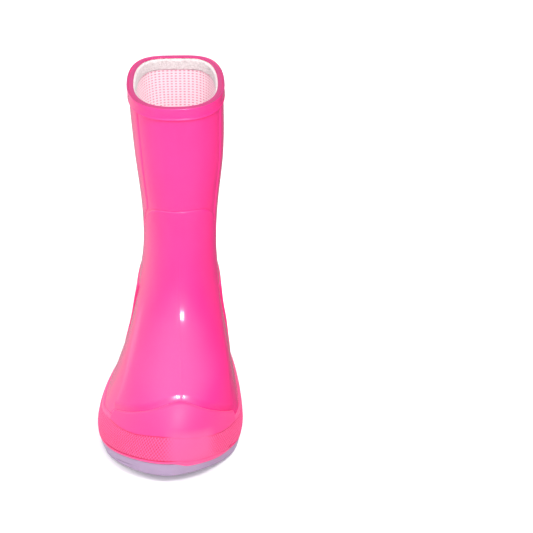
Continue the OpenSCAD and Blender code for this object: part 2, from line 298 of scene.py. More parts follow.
def add_mesh(name, points, faces, uv=None, round_trip=None, smooth=True):
    """Object from points in millimetres.

    uv is one pair per point, in millimetres, and round_trip the u at which a closed ring meets
    its start.
    """
    mesh = bpy.data.meshes.new(name)
    faces = faces.tolist() if isinstance(faces, np.ndarray) else faces
    mesh.from_pydata((np.asarray(points) * MM).tolist(), [], faces)
    mesh.polygons.foreach_set("use_smooth", [smooth] * len(mesh.polygons))
    if uv is not None:
        index = np.zeros(len(mesh.loops), int)
        mesh.loops.foreach_get("vertex_index", index)
        corners = np.asarray(uv)[index]
        if round_trip:
            count = np.array([len(f) for f in faces])
            start = np.r_[0, np.cumsum(count)[:-1]]
            far = np.repeat(np.maximum.reduceat(corners[:, 0], start), count)
            corners[far - corners[:, 0] > round_trip / 2, 0] += round_trip
        layer = mesh.uv_layers.new(name="UVMap")
        layer.data.foreach_set("uv", (corners * MM).ravel())
    mesh.update()
    obj = bpy.data.objects.new(name, mesh)
    bpy.context.scene.collection.objects.link(obj)
    return obj


def grid_faces(rows, cols, start=0, wrap=False, flip=False):
    """Quads over a grid of points stored row by row. wrap joins the last column to the first."""
    i = np.arange(rows - 1)[:, None]
    j = np.arange(cols if wrap else cols - 1)[None, :]
    k = (j + 1) % cols
    quads = np.stack([i * cols + j, i * cols + k, (i + 1) * cols + k, (i + 1) * cols + j], -1)
    quads = quads.reshape(-1, 4) + start
    return quads[:, ::-1] if flip else quads


def arc_uv(rings, repeat):
    """UV in millimetres: distance along a ring, a whole number of repeats round it, and distance up."""
    rings = np.asarray(rings)
    middle = rings[len(rings) // 2]
    closed = np.vstack([middle, middle[:1]])
    along = np.r_[0, np.cumsum(np.linalg.norm(np.diff(closed, axis=0), axis=1))]
    whole = repeat * round(along[-1] / repeat)
    along *= whole / along[-1]
    up = np.r_[0, np.cumsum(np.linalg.norm(np.diff(rings, axis=0), axis=2).mean(1))]
    u, v = np.meshgrid(along[:-1], up)
    return np.stack([u, v], -1).reshape(-1, 2), whole


def loft(name, rings, hoop=False, repeat=2.5):
    """Closed solid through rings of equal length, bottom to top outside, then back down inside."""
    rings = np.asarray(rings)
    m, n = rings.shape[:2]
    points = rings.reshape(-1, 3)
    uv, whole = arc_uv(rings, repeat)
    if hoop:
        faces = grid_faces(m + 1, n, wrap=True) % (m * n)
        return add_mesh(name, points, faces, uv, whole)
    faces = grid_faces(m, n, wrap=True).tolist()
    tips = np.array([(r.max(0) + r.min(0)) / 2 for r in (rings[0], rings[-1])])
    j = np.arange(n)
    k = (j + 1) % n
    faces += np.stack([np.full(n, m * n), k, j], -1).tolist()
    faces += np.stack([np.full(n, m * n + 1), (m - 1) * n + j, (m - 1) * n + k], -1).tolist()
    return add_mesh(name, np.vstack([points, tips]), faces, np.vstack([uv, uv[:1], uv[-1:]]), whole)


def turn(n):
    return np.arange(n) * 360 / n


def even_turn(n, z, d):
    """Angles all round at even steps along the skin at height z."""
    a = np.linspace(0, 360, 2881)
    p = skin(a, z(a) if callable(z) else z, d)
    s = np.r_[0, np.cumsum(np.linalg.norm(np.diff(p, axis=0), axis=1))]
    return np.interp(np.arange(n) * s[-1] / n, s, a), s[-1]


def crowd(n, ends, edge=0.06):
    """n steps from 0 to 1 with extra steps close to the chosen ends (0, 1)."""
    u = np.linspace(0, 1, n)
    fine = edge * np.array([0.004, 0.03, 0.09, 0.18, 0.32, 0.55, 0.8])
    extra = []
    if 0 in ends:
        extra.append(fine)
    if 1 in ends:
        extra.append(1 - fine)
    return np.unique(np.concatenate([u] + extra).round(6))


def quarter(e, r):
    """Height, from 0 to 1, of a rounded edge of radius r at distance e inside the edge."""
    u = np.clip(e / r, 0, 1)
    return np.sqrt(np.maximum(0, 1 - (1 - u) ** 2))


def panel(name, a, z, lift, sunk=-0.35, radius=0.7, sides=(0, 1), ends=(0, 1), extra=None):
    """Rubber panel on the shell with rounded edges. a and z are grids (rows up, columns around).

    sides and ends name the edges that are rounded down: columns 0 and 1, rows 0 and 1.
    """
    base = skin(a, z, 0.0)
    step_u = np.linalg.norm(np.diff(base, axis=1), axis=2)
    step_v = np.linalg.norm(np.diff(base, axis=0), axis=2)
    along = np.concatenate([np.zeros((len(base), 1)), np.cumsum(step_u, 1)], 1)
    up = np.concatenate([np.zeros((1, base.shape[1])), np.cumsum(step_v, 0)], 0)
    height = np.ones(a.shape)
    if 0 in sides:
        height = np.minimum(height, quarter(along, radius))
    if 1 in sides:
        height = np.minimum(height, quarter(along[:, -1:] - along, radius))
    if 0 in ends:
        height = np.minimum(height, quarter(up, radius))
    if 1 in ends:
        height = np.minimum(height, quarter(up[-1:] - up, radius))
    d = mix(sunk, lift, height)
    if extra is not None:
        d = d + extra(a, z) * height
    outer = skin(a, z, d)
    inner = skin(a, z, sunk - 0.1)
    rows, cols = a.shape
    points = np.vstack([outer.reshape(-1, 3), inner.reshape(-1, 3)])
    off = rows * cols
    faces = [grid_faces(rows, cols), grid_faces(rows, cols, start=off, flip=True)]
    left = np.arange(rows) * cols
    right = left + cols - 1
    low = np.arange(cols)
    high = low + (rows - 1) * cols
    for line, flip in ((low, False), (high, True), (left, True), (right, False)):
        q = np.stack([line[:-1], line[:-1] + off, line[1:] + off, line[1:]], -1)
        faces.append(q[:, ::-1] if flip else q)
    uv = np.stack([along, up], -1).reshape(-1, 2)
    return add_mesh(name, points, np.vstack(faces), np.vstack([uv, uv]))


def place(obj, slot, *nodes, material):
    """Give a piece its body and its material, and hide the CAD nodes it stands for; slot is not used."""
    obj.data.materials.append(material)
    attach(obj, "root")
    if nodes:
        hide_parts(*nodes)
    return obj


# ---- materials ----

class Nodes:
    """Short way to write a material's node tree."""

    def __init__(self, name):
        self.material = bpy.data.materials.new(name)
        self.material.use_nodes = True
        self.tree = self.material.node_tree
        self.bsdf = self.tree.nodes["Principled BSDF"]

    def add(self, kind, **inputs):
        node = self.tree.nodes.new(kind)
        for key, value in inputs.items():
            self.put(node.inputs[key.replace("_", " ")], value)
        return node

    def put(self, socket, value):
        if isinstance(value, bpy.types.NodeSocket):
            self.tree.links.new(value, socket)
        else:
            socket.default_value = value

    def math(self, operation, *values):
        node = self.tree.nodes.new("ShaderNodeMath")
        node.operation = operation
        for socket, value in zip(node.inputs, values):
            self.put(socket, value)
        return node.outputs[0]

    def ramp(self, value, stops):
        node = self.tree.nodes.new("ShaderNodeValToRGB")
        self.put(node.inputs[0], value)
        while len(node.color_ramp.elements) < len(stops):
            node.color_ramp.elements.new(1.0)
        for element, (at, colour) in zip(node.color_ramp.elements, stops):
            element.position = at
            element.color = (*colour, 1)
        return node.outputs[0]

    def noise(self, scale, detail=2.0, rough=0.5):
        node = self.add("ShaderNodeTexNoise", Scale=scale, Detail=detail, Roughness=rough)
        self.put(node.inputs["Vector"], self.object_space())
        return node.outputs[0]

    def object_space(self):
        return self.add("ShaderNodeTexCoord").outputs["Object"]

    def uv(self):
        return self.add("ShaderNodeUVMap").outputs[0]

    def bump(self, height, strength, distance, normal=None):
        node = self.add("ShaderNodeBump", Strength=strength, Distance=distance, Height=height)
        if normal is not None:
            self.put(node.inputs["Normal"], normal)
        return node.outputs[0]

    def set(self, **inputs):
        for key, value in inputs.items():
            self.put(self.bsdf.inputs[key.replace("_", " ")], value)
        return self.material


def gloss_rubber(name, colour, deep, roughness):
    """Moulded glossy rubber: even colour, faint flow marks and a clear wet-looking skin."""
    n = Nodes(name)
    cloud = n.noise(22.0, 3.0, 0.55)
    speck = n.noise(2400.0, 2.0, 0.5)
    tint = n.ramp(cloud, [(0.35, deep), (0.65, colour)])
    rough = n.math("MULTIPLY_ADD", cloud, 0.10, roughness - 0.05)
    wave = n.bump(n.noise(45.0, 2.0, 0.4), 0.12, 0.0006)
    fine = n.bump(speck, 0.04, 0.00003, wave)
    return n.set(Base_Color=tint, Roughness=rough, Normal=fine, IOR=1.5, Specular_IOR_Level=0.45,
                 Coat_Weight=0.35, Coat_Roughness=0.08, Coat_IOR=1.5)


def satin_rubber(name, colour, deep, roughness, gaps=None):
    """Matte rubber with a powdery bloom and fine grain.

    gaps is the colour where the relief stored by set_relief is 0: on the foxing a painted shade in the
    hollows between the studs, on the toe cap the cap's own pink away from the toe.
    """
    n = Nodes(name)
    cloud = n.noise(45.0, 4.0, 0.6)
    grain = n.noise(2600.0, 2.0, 0.6)
    tint = n.ramp(cloud, [(0.3, deep), (0.7, colour)])
    if gaps:
        relief = n.tree.nodes.new("ShaderNodeAttribute")
        relief.attribute_name = "relief"
        blend = n.tree.nodes.new("ShaderNodeMix")
        blend.data_type = "RGBA"
        n.put(blend.inputs["Factor"], relief.outputs["Fac"])
        n.tree.links.new(tint, blend.inputs[7])
        blend.inputs[6].default_value = (*gaps, 1)
        tint = blend.outputs[2]
    rough = n.math("MULTIPLY_ADD", grain, 0.12, roughness - 0.06)
    fine = n.bump(grain, 0.25, 0.00008)
    return n.set(Base_Color=tint, Roughness=rough, Normal=fine, IOR=1.5, Sheen_Weight=0.05)


WALE = 2.5
COURSE = 1.6


def knit(name):
    """Knitted lining: columns of loops with darker dots where the backing shows between them."""
    n = Nodes(name)
    uv = n.add("ShaderNodeSeparateXYZ", Vector=n.uv())
    wale = n.math("MULTIPLY", uv.outputs[0], 2 * math.pi / (WALE * MM))
    course = n.math("MULTIPLY", uv.outputs[1], 2 * math.pi / (COURSE * MM))
    rib = n.math("MULTIPLY_ADD", n.math("COSINE", wale), 0.5, 0.5)
    row = n.math("MULTIPLY_ADD", n.math("COSINE", course), 0.5, 0.5)
    between = n.math("SUBTRACT", 1.0, rib)
    hole = n.math("MULTIPLY", n.math("POWER", between, 1.3), n.math("POWER", row, 2.2))
    fuzz = n.noise(1500.0, 4.0, 0.7)
    dots = n.math("ADD", n.math("MULTIPLY_ADD", between, 0.04, n.math("MULTIPLY", hole, 1.4)),
                  n.math("MULTIPLY_ADD", fuzz, 0.3, -0.15))
    tint = n.ramp(dots, [(0.05, (0.95, 0.73, 0.79)), (0.9, (0.72, 0.25, 0.37))])
    height = n.math("ADD", n.math("SUBTRACT", rib, n.math("MULTIPLY", hole, 0.7)),
                    n.math("MULTIPLY", fuzz, 0.35))
    return n.set(Base_Color=tint, Roughness=0.92, Normal=n.bump(height, 0.25, 0.0003),
                 Sheen_Weight=0.35, Sheen_Roughness=0.5)


def felt(name, colour, shade):
    """Brushed felt: matted fibres, soft and uneven."""
    n = Nodes(name)
    mat = n.noise(700.0, 5.0, 0.75)
    tint = n.ramp(mat, [(0.3, shade), (0.65, colour)])
    return n.set(Base_Color=tint, Roughness=0.96, Normal=n.bump(mat, 0.9, 0.0005),
                 Sheen_Weight=0.5, Sheen_Roughness=0.45)


def fibreboard(name):
    n = Nodes(name)
    flakes = n.noise(1200.0, 5.0, 0.8)
    tint = n.ramp(flakes, [(0.3, (0.36, 0.25, 0.15)), (0.7, (0.60, 0.46, 0.31))])
    return n.set(Base_Color=tint, Roughness=0.85, Normal=n.bump(flakes, 0.4, 0.0001))


def foam_cells(name):
    n = Nodes(name)
    cells = n.add("ShaderNodeTexVoronoi", Scale=1100.0, Vector=n.object_space()).outputs[0]
    tint = n.ramp(cells, [(0.1, (0.66, 0.63, 0.58)), (0.6, (0.88, 0.86, 0.82))])
    return n.set(Base_Color=tint, Roughness=0.9, Normal=n.bump(cells, 0.5, 0.0002))


PINK = (0.92, 0.031, 0.245)
PINK_DEEP = (0.89, 0.027, 0.228)
STUD = (0.95, 0.095, 0.31)
STUD_DEEP = (0.92, 0.084, 0.29)
# PATCH is STUD mixed one part in five with the foxing's painted gap shade, so the smooth pieces match the
# textured foxing
PATCH = (0.86, 0.078, 0.264)
PATCH_DEEP = (0.83, 0.069, 0.248)
# painted shade: a darker, duller pink for the upward faces at the rim
rim_top_shade_pink = satin_rubber("rim_top_painted_shade_rubber", (0.46, 0.015, 0.15), (0.40, 0.012, 0.125), 0.6)
gloss_pink = gloss_rubber("gloss_pink_rubber", PINK, PINK_DEEP, 0.24)
satin_pink = satin_rubber("satin_pink_rubber", PATCH, PATCH_DEEP, 0.44)
lilac = satin_rubber("lilac_sole_rubber", (0.41, 0.298, 0.455), (0.36, 0.258, 0.405), 0.62)
knit_pink = knit("knit_lining")
cap_pink = satin_rubber("toe_cap_pink_rubber", PATCH, PATCH_DEEP, 0.48, gaps=(0.91, 0.034, 0.225))
# gaps here is painted shade in the hollows between the foxing's studs
foxing_pink = satin_rubber("foxing_pink_rubber", STUD, STUD_DEEP, 0.46, gaps=(0.50, 0.008, 0.08))
felt_white = felt("felt_tape", (0.86, 0.82, 0.82), (0.68, 0.61, 0.61))
board_brown = fibreboard("insole_fibreboard")
foam_cream = foam_cells("footbed_foam")


# ---- upper ----

def levels(*spans):
    """Heights from (low, high, count) spans, joined."""
    return np.unique(np.concatenate([np.linspace(lo, hi, count) for lo, hi, count in spans]).round(4))


def sole_ring(a, z, d, k):
    """Ring of a flat piece of the sole at height z, drawn in to the fraction k."""
    edge = skin(a, z, d)
    mid = np.array([PLANE_X / 2, 0])
    q = mid + k * (edge[:, :2] - mid)
    return np.column_stack([q, z + spring(q[:, 1], z)])


def floor_ring(a, h, d, k):
    """Ring that follows the floor: h above the midsole's top, drawn in to the fraction k."""
    return sole_ring(a, mix(SOLE_EDGE, edge_z(a), k * k) + h, d, k)


def make_shell():
    a = turn(288)
    up = levels((12, 60, 60), (60, 120, 50), (120, RIM - 0.6, 50))
    rings = [floor_ring(a, GAP, 0, k) for k in (0.3, 0.6, 0.9)]
    rings += [skin(a, edge_z(a) + GAP, 0)]
    rings += [skin(a, z, 0) for z in up]
    for turn_in in (20, 45, 70, 90):
        c, s = math.cos(math.radians(turn_in)), math.sin(math.radians(turn_in))
        rings.append(skin(a, RIM - 0.6 + 0.6 * s, -0.6 + 0.6 * c))
    for turn_in in (0, 30, 60, 90):
        c, s = math.cos(math.radians(turn_in)), math.sin(math.radians(turn_in))
        rings.append(skin(a, RIM - 0.4 + 0.4 * c, -WALL - LIP + 0.4 - 0.4 * s))
    rings += [skin(a, RIM - 0.75, 0.15 - WALL - LIP), skin(a, RIM - 0.9, -WALL)]
    down = levels((14, RIM - 1.2, 50))[::-1]
    rings += [skin(a, z, -WALL) for z in down]
    rings += [floor_ring(a, GAP + WALL, -WALL, k) for k in (1.0, 0.7, 0.4)]
    return loft("shell", rings)


def make_shin_panel():
    u = crowd(110, (0, 1), 0.03) * 2 - 1
    fine = np.array([-1.2, -0.6, -0.35, -0.2, -0.1, 0, 0.1, 0.2, 0.35, 0.6, 1.2]) / SHIN_SIDE
    u = np.unique(np.concatenate([u, fine]).round(6))
    v = crowd(170, (0, 1), 0.02)
    U, V = np.meshgrid(u, v)
    a = SHIN_SIDE * U
    z = mix(foxing_z(a) - 1.0, shin_top_z(a), V)
    a = a + ridge_angle(z) * (1 - U * U)
    z = mix(foxing_z(a) - 1.0, shin_top_z(a), V)

    def relief(a_, z_):
        x = plan(a_, z_)[0] - PLANE_X
        fade = ease((z_ - 38) / 6) * (1 - ease((z_ - 92) / 16))
        ridge = 0.06 * np.exp(-((x / 0.3) ** 2)) * fade
        tuck = (0.95 - 0.12 * np.exp(-((x / 4) ** 2))) * (1 - ease((z_ - cap_z(a_)) / 4.0))
        return ridge - tuck

    return panel("shin_panel", a, z, GAP + PANEL, radius=0.8, extra=relief)


def set_relief(obj, value):
    """Store one number per point, which satin_rubber turns into the blend between its two colours; on the
    foxing, 0 is the painted shade of the hollows between the studs.
    """
    layer = obj.data.attributes.new("relief", "FLOAT", "POINT")
    layer.data.foreach_set("value", value)
    return obj


def toe_patch(a):
    """1 over the toe, where the foxing is smooth and runs into the cap without a step."""
    a = from_toe(a)
    return ease((a + 10) / 14) * ease((40 - a) / 12)


def toe_scuff(a):
    """1 where the foxing's lower edge runs smoothly into the bead, on the inner side of the toe."""
    a = from_toe(a)
    return ease((a + 2) / 10) * ease((60 - a) / 10)


def make_toe_cap():
    side = 66.0
    U, V = np.meshgrid(crowd(150, (0, 1), 0.02) * 2 - 1, crowd(50, (1,), 0.06))
    a = side * U
    z = mix(foxing_z(a) - 0.8, cap_z(a), V)

    def blend(a_, z_):
        return -0.35 * toe_patch(a_) * (1 - ease((z_ - foxing_z(a_)) / 5))

    obj = panel("toe_cap", a, z, CAP_OUT, sunk=0.3, radius=0.9, ends=(1,), extra=blend)
    patch = toe_patch(a) * (1 - ease((z - foxing_z(a)) / 6))
    return set_relief(obj, np.tile(patch.ravel(), 2))


def make_back_stay():
    top = RIM - COLLAR_HEIGHT + 0.8
    v = crowd(90, (0,), 0.02)
    u = crowd(150, (0, 1), 0.02)
    U, V = np.meshgrid(u, v)
    low = counter_z(90.0)
    level = mix(low, top, V)
    a = mix(stay_angle(level, STAY_INNER), 360 - stay_angle(level, STAY_OUTER), U)
    z = mix(counter_z(a) + GAP, top, V)
    return panel("back_stay", a, z, GAP + 0.35, radius=2.0, ends=(0,))


def make_heel_counter():
    v = crowd(60, (1,), 0.03)
    u = crowd(140, (0, 1), 0.02)
    U, V = np.meshgrid(u, v)
    s = counter_angle(V)
    a = mix(s, 360 - s, U)
    z = mix(foxing_z(a) - 0.8, counter_z(a), V)
    return panel("heel_counter", a, z, GAP + PANEL + 0.4, radius=1.1, ends=(1,))


def make_collar():
    """Rolled rim band, with a thin raised lip along its lower edge."""
    a = turn(288)
    low = RIM - COLLAR_HEIGHT
    profile = [(low, 0.02)]
    profile += [(low + 0.6 - 0.6 * math.cos(t), COLLAR_PROUD - 0.6 + 0.6 * math.sin(t))
                for t in np.radians((0, 25, 50, 75, 90, 115, 140))]
    profile += [(low + 1.5, COLLAR_PROUD - 0.35), (low + 3.5, COLLAR_PROUD - 0.3)]
    profile += [(RIM - 1.4, COLLAR_PROUD - 0.15)]
    profile += [(RIM - 0.8 + 0.8 * math.sin(t), COLLAR_PROUD - 0.9 + 0.8 * math.cos(t))
                for t in np.radians((0, 20, 40, 60, 80, 90))]
    profile += [(RIM, 0.02)]
    return loft("collar_band", [skin(a, z, d) for z, d in profile], hoop=True)


def paint_rim_top_shade(obj):
    """Painted shade: the upward faces at the rim get a darker, duller pink."""
    mesh = obj.data
    mesh.materials.append(rim_top_shade_pink)
    centre = np.zeros(3 * len(mesh.polygons))
    normal = np.zeros(3 * len(mesh.polygons))
    mesh.polygons.foreach_get("center", centre)
    mesh.polygons.foreach_get("normal", normal)
    # upward faces at the rim, which take the painted shade
    on_top = (centre[2::3] > (RIM - 0.5) * MM) & (normal[2::3] > 0.6)
    mesh.polygons.foreach_set("material_index", on_top.astype(int))


# ---- sole edge ----

def make_foxing():
    """Foxing with raised diamonds, fading to a smooth patch over the toe, with painted shade in the hollows
    between the diamonds.
    """
    count = 2400

    def middle(angle):
        return (bead_z(angle) + foxing_z(angle)) / 2

    a, length = even_turn(count, middle, FOXING_PROUD)
    pitch = length / round(length / STUD_PITCH)
    s = np.arange(count) * length / count
    low, high = bead_z(a) + GAP * 0.3, foxing_z(a)
    rows = np.r_[0.0, 0.02, 0.05, np.linspace(0.08, 0.95, 56), 0.965, 0.98, 0.992, 1.0]
    rings = [skin(a, low, -0.3)]
    # per-point colour blend: 0.8 carries a fifth of the painted gap shade
    relief = [np.full(count, 0.8)]
    smooth = toe_patch(a)
    for v in rows:
        z = mix(low, high, v)
        h = (high - low) * v
        lower = np.maximum(quarter(h, 1.3), toe_scuff(a))
        upper = np.maximum(quarter((high - low) * (1 - v), 0.7), smooth)
        edge = lower * upper
        lattice = np.cos(2 * np.pi * s / pitch) * np.cos(np.pi * h / STUD_ROW)
        stud = 0.5 + 0.5 * lattice
        inside = ease((h - 0.5) / 0.5) * ease((high - low - h - 1.0) / 0.6)
        body = mix(1.15, mix(1.0, 1.4, smooth), v)
        d = mix(0.25, body, edge) + 0.5 * stud * inside * (1 - smooth)
        rings.append(skin(a, z, d))
        # colour blend: the studs keep their pink and the hollows get the painted shade; edges and the
        # smooth patch take a fifth of it
        relief.append(mix(0.8, stud**0.8, inside * (1 - smooth)))
    rings.append(skin(a, high, -0.3))
    relief.append(np.full(count, 0.8))
    return set_relief(loft("foxing_band", rings, hoop=True), np.concatenate(relief))


def make_bead():
    a = turn(360)
    rings = []
    for t in np.radians(np.linspace(-90, 90, 11)):
        d = mix(mix(0.35, 1.6, math.cos(t)), 1.15, toe_scuff(a) * ease((math.sin(t) + 1) / 0.8))
        z = edge_z(a) + GAP + BEAD * (0.5 + 0.5 * math.sin(t))
        rings.append(skin(a, z, d))
    rings.append(skin(a, edge_z(a) + GAP + BEAD, -0.2))
    rings.insert(0, skin(a, edge_z(a) + GAP, -0.2))
    return loft("foxing_bead", rings, hoop=True)


def make_bumper():
    drop = 2.2
    U, V = np.meshgrid(crowd(70, (0, 1), 0.06), crowd(14, (0,), 0.5))
    a = mix(2.0, 66.0, U)
    taper = ease(U / 0.2) * ease((1 - U) / 0.5)
    z = mix(edge_z(a) - drop * taper, edge_z(a) + 0.9, V)
    return panel("toe_bumper", a, z, FOXING_PROUD - 0.1, sunk=0.3, radius=0.7, ends=(0,))


def make_midsole():
    """Cupped sole above the treads, its wall flush with theirs."""
    a = turn(360)
    low = TREAD - 0.2
    rings = [sole_ring(a, low, sole_wall(a, low) - 0.3, k) for k in (0.2, 0.4, 0.6, 0.8, 1.0)]
    rings += [skin(a, z, sole_wall(a, z)) for z in np.linspace(low, 6.0, 30)]
    for v in (0.25, 0.5, 0.75, 1.0):
        z = mix(6.0, edge_z(a), v)
        rings.append(skin(a, z, sole_wall(a, z)))
    rings += [floor_ring(a, 0, 0, k) for k in (0.9, 0.5)]
    return loft("midsole", rings)


def groove_prism(y, x0, x1, width, depth):
    """Wavy cutter for one groove across the tread, following the toe spring."""
    n = 60
    x = np.linspace(x0, x1, n)
    cy = y + 1.4 * np.sin(2 * np.pi * (x - PLANE_X) / 17)
    half = width / 2 * np.sqrt(np.clip(1 - (2 * (x - (x0 + x1) / 2) / (x1 - x0)) ** 24, 0.05, 1))
    floor = float(spring(np.array(y), 0.0))
    loops = []
    for dy, z in ((-1, floor - 6), (1, floor - 6), (0.8, floor + depth), (-0.8, floor + depth)):
        loops.append(np.column_stack([x, cy + dy * half, np.full(n, z)]))
    points = np.stack(loops, 1).reshape(-1, 3)
    faces = []
    for i in range(n - 1):
        for k in range(4):
            m = (k + 1) % 4
            faces.append([4 * i + k, 4 * i + m, 4 * (i + 1) + m, 4 * (i + 1) + k])
    faces.append([3, 2, 1, 0])
    faces.append([4 * (n - 1) + k for k in range(4)])
    return points, faces


def slab_box(y0, y1):
    """Cutter that removes everything between y0 and y1."""
    x, lo, hi = 80.0, -10.0, 30.0
    points = [(sx * x, y, z) for z in (lo, hi) for y in (y0, y1) for sx in (-1, 1)]
    faces = [[0, 2, 3, 1], [4, 5, 7, 6], [0, 1, 5, 4], [2, 6, 7, 3], [0, 4, 6, 2], [1, 3, 7, 5]]
    return points, faces


def cut(obj, cutters):
    """Subtract closed cutters from obj, one after another, and keep the result as plain mesh."""
    for points, faces in cutters:
        tool = add_mesh("cutter", points, faces, smooth=False)
        mod = obj.modifiers.new("cut", "BOOLEAN")
        mod.operation = "DIFFERENCE"
        mod.solver = "EXACT"
        mod.object = tool
        graph = bpy.context.evaluated_depsgraph_get()
        result = bpy.data.meshes.new_from_object(obj.evaluated_get(graph))
        obj.modifiers.clear()
        old = obj.data
        obj.data = result
        bpy.data.meshes.remove(old)
        bpy.data.objects.remove(tool)
    return obj


def outline_x(y, inset):
    """Left and right edges of the tread at y."""
    a = np.linspace(-180, 180, 1441)
    p = skin(a, 0.0, -inset)
    on_left = p[:, 0] < PLANE_X / 2
    return [side[np.argmin(np.abs(side[:, 1] - y)), 0] for side in (p[on_left], p[~on_left])]


def make_tread(name, keep_low, keep_high, first, last):
    a = turn(288)
    rings = [sole_ring(a, 0.0, sole_out(a) - 0.7, k) for k in (0.15, 0.3, 0.45, 0.6, 0.75, 0.9, 1.0)]
    for t in np.radians((25, 50, 70, 90)):
        z = 0.6 - 0.6 * math.cos(t)
        rings.append(skin(a, z, sole_wall(a, z) - 0.6 + 0.6 * math.sin(t)))
    rings += [skin(a, z, sole_wall(a, z)) for z in np.linspace(0.8, TREAD - 0.1, 22)]
    rings += [skin(a, TREAD, sole_wall(a, TREAD) - 0.4)]
    rings += [sole_ring(a, TREAD, sole_out(a) - 0.6, k) for k in (0.9, 0.5)]
    obj = loft(name, rings)
    cutters = [slab_box(-200, keep_low)] if keep_low > -100 else []
    cutters += [slab_box(keep_high, 200)] if keep_high < 100 else []
    for y in np.arange(first, last + 0.01, GROOVE_PITCH):
        x0, x1 = outline_x(y, 6.0)
        cutters.append(groove_prism(y, x0, x1, GROOVE_WIDTH, GROOVE_DEPTH))
    cut(obj, cutters)
    obj.data.polygons.foreach_set("use_smooth", [True] * len(obj.data.polygons))
    obj.data.set_sharp_from_angle(angle=math.radians(30))
    return obj


# ---- inside ----

FLOOR = GAP + WALL
BOARD_LOW = FLOOR + GAP
SOCK_LOW = BOARD_LOW + BOARD + GAP
FOAM_LOW = SOCK_LOW + LINING + GAP
COVER_LOW = FOAM_LOW + FOAM + GAP


def make_lining_leg():
    a = turn(288)
    low, high = SOCK_JOIN + GAP, RIM - 1 - TAPE_HEIGHT + 0.8
    up = np.linspace(low, high, 60)
    rings = [skin(a, z, SOCK_OUT) for z in up] + [skin(a, z, SOCK_IN) for z in up[::-1]]
    return loft("lining_leg", rings, hoop=True)


def make_lining_foot():
    a = turn(288)
    up = np.linspace(24, SOCK_JOIN, 40)
    rings = [floor_ring(a, SOCK_LOW, SOCK_OUT, k) for k in (0.4, 0.8, 1)]
    rings += [skin(a, z, SOCK_OUT) for z in up]
    rings += [skin(a, z, SOCK_IN) for z in up[::-1]]
    rings += [floor_ring(a, SOCK_LOW + LINING, SOCK_IN, k) for k in (1, 0.8, 0.4)]
    return loft("lining_foot", rings)


def make_tape():
    """Felt tape inside the rim, its face and edges uneven."""
    count = 720
    a = turn(count)
    rng = np.random.default_rng(4)
    low, high = RIM - 1 - TAPE_HEIGHT, RIM - 1

    def wander(amount, waves):
        k = rng.integers(3, waves, 14)
        phase = rng.uniform(0, 2 * np.pi, 14)
        return amount * np.mean([np.sin(np.radians(a) * m + p) for m, p in zip(k, phase)], 0)

    rings = [skin(a, low + wander(0.8, 60), SOCK_OUT)]
    rings.append(skin(a, high + wander(0.5, 60), SOCK_OUT + 0.05))
    for t in np.radians(np.linspace(90, 0, 6)):
        d = SOCK_OUT - TAPE * (0.25 + 0.75 * math.cos(t))
        rings.append(skin(a, high - 1.2 + 1.2 * math.sin(t) + wander(0.5, 60), d + wander(0.5, 180)))
    for v in np.linspace(0.15, 1, 12):
        z = mix(high - 1.2, low, v) + wander(0.3, 60)
        rings.append(skin(a, z, SOCK_OUT - TAPE + wander(0.5, 200)))
    rings.append(skin(a, low + wander(0.5, 60), SOCK_OUT - 0.6))
    return loft("lining_edge_tape", rings[::-1][1:] + rings[::-1][:1], hoop=True)


def make_fuzz():
    """Loose fibres standing off the felt tape, each a thin three-sided strand."""
    rng = np.random.default_rng(11)
    count = 5200
    a = rng.uniform(0, 360, count)
    v = rng.uniform(0, 1, count)
    low, high = RIM - 1 - TAPE_HEIGHT, RIM - 1
    z = mix(low, high + 0.1, v)
    rim_side = rng.uniform(0, 1, count) < 0.35
    z = np.where(rim_side, high + rng.uniform(-0.3, 0.15, count), z)
    depth = np.where(rim_side, rng.uniform(0.1, 1.0, count), 1.0)
    root = skin(a, z, SOCK_OUT - TAPE * depth)
    inward = skin(a, z, SOCK_OUT - TAPE * depth - 1.0) - root
    inward /= np.linalg.norm(inward, axis=1, keepdims=True)
    side = rng.normal(0, 1, (count, 3))
    length = rng.uniform(0.35, 1.0, count)[:, None]
    rise = np.where(rim_side[:, None], [[0, 0, 0.35]], 0.0)
    lean = rise + inward * np.where(rim_side, 0.5, 1.0)[:, None] + 0.7 * side
    lean /= np.linalg.norm(lean, axis=1, keepdims=True)
    droop = rng.normal(0, 0.35, (count, 3)) * length
    width = 0.022
    points, faces = [], []
    cross = np.cross(lean, rng.normal(0, 1, (count, 3)))
    cross /= np.linalg.norm(cross, axis=1, keepdims=True)
    other = np.cross(lean, cross)
    for k, w in ((0.0, 1.0), (0.55, 0.8), (1.0, 0.25)):
        centre = root + lean * length * k + droop * k * k
        for t in (0, 120, 240):
            c, s = math.cos(math.radians(t)), math.sin(math.radians(t))
            points.append(centre + (cross * c + other * s) * width * w)
    points = np.stack(points, 1).reshape(-1, 3)
    base = 9 * np.arange(count)[:, None]
    for r in (0, 3):
        for k in range(3):
            m = (k + 1) % 3
            faces.append(base + np.array([r + k, r + m, r + 3 + m, r + 3 + k]))
    points[:, 2] = np.minimum(points[:, 2], RIM - 0.05)
    return add_mesh("tape_fuzz", points, np.vstack(faces))


